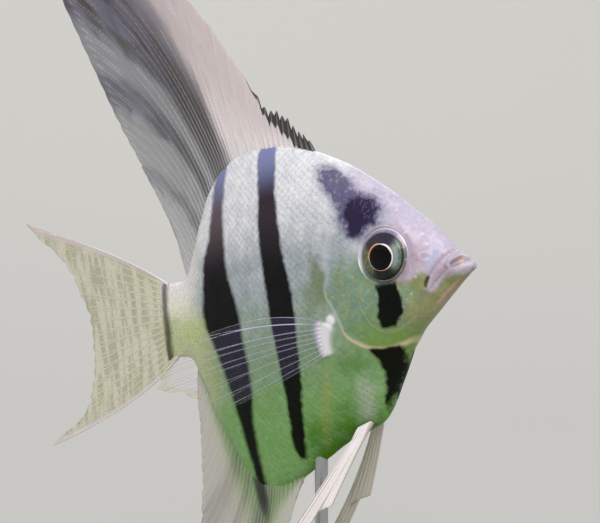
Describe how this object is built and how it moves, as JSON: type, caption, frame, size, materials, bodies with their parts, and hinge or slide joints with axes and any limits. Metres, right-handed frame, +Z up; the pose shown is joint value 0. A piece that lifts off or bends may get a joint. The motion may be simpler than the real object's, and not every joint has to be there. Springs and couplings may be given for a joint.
{
  "type": "freshwater angelfish display model",
  "caption": "Life-size freshwater angelfish with dark upright bars and long trailing fins, held swimming on a slim rod over a flat base.",
  "frame": {"origin": "centre of the stand base's underside, on the floor", "axes": "+X the way the fish faces, along the base's long side; +Y to the fish's left; +Z up"},
  "size_m": [0.1155, 0.052, 0.1599],
  "materials": {
    "skin": "wet, pearly silver scales, lavender on the back and green on the belly, with near-black upright bars",
    "lips": "smooth, pale lilac skin",
    "eye": "clear gloss over a dark iris with a pale gold ring",
    "fin": "thin, translucent webs between pale rays",
    "stand_wood": "oiled dark walnut",
    "stand_steel": "satin brushed steel"
  },
  "bodies": {
    "root": {"head": "skin", "upper_jaw": "lips", "lower_jaw": "lips", "gill_cover_right": "skin", "gill_cover_left": "skin", "trunk": "skin", "tail_stem": "skin", "eye_right": "eye", "eye_left": "eye", "dorsal_fin_spiny": "fin", "dorsal_fin_soft": "fin", "anal_fin_spiny": "fin", "anal_fin_soft": "fin", "caudal_fin": "fin", "pectoral_fin_right": "fin", "pectoral_fin_left": "fin", "pelvic_fin_right": "fin", "pelvic_fin_left": "fin", "stand_base": "stand_wood", "stand_collar": "stand_steel", "stand_rod": "stand_steel"}
  },
  "joints": []
}
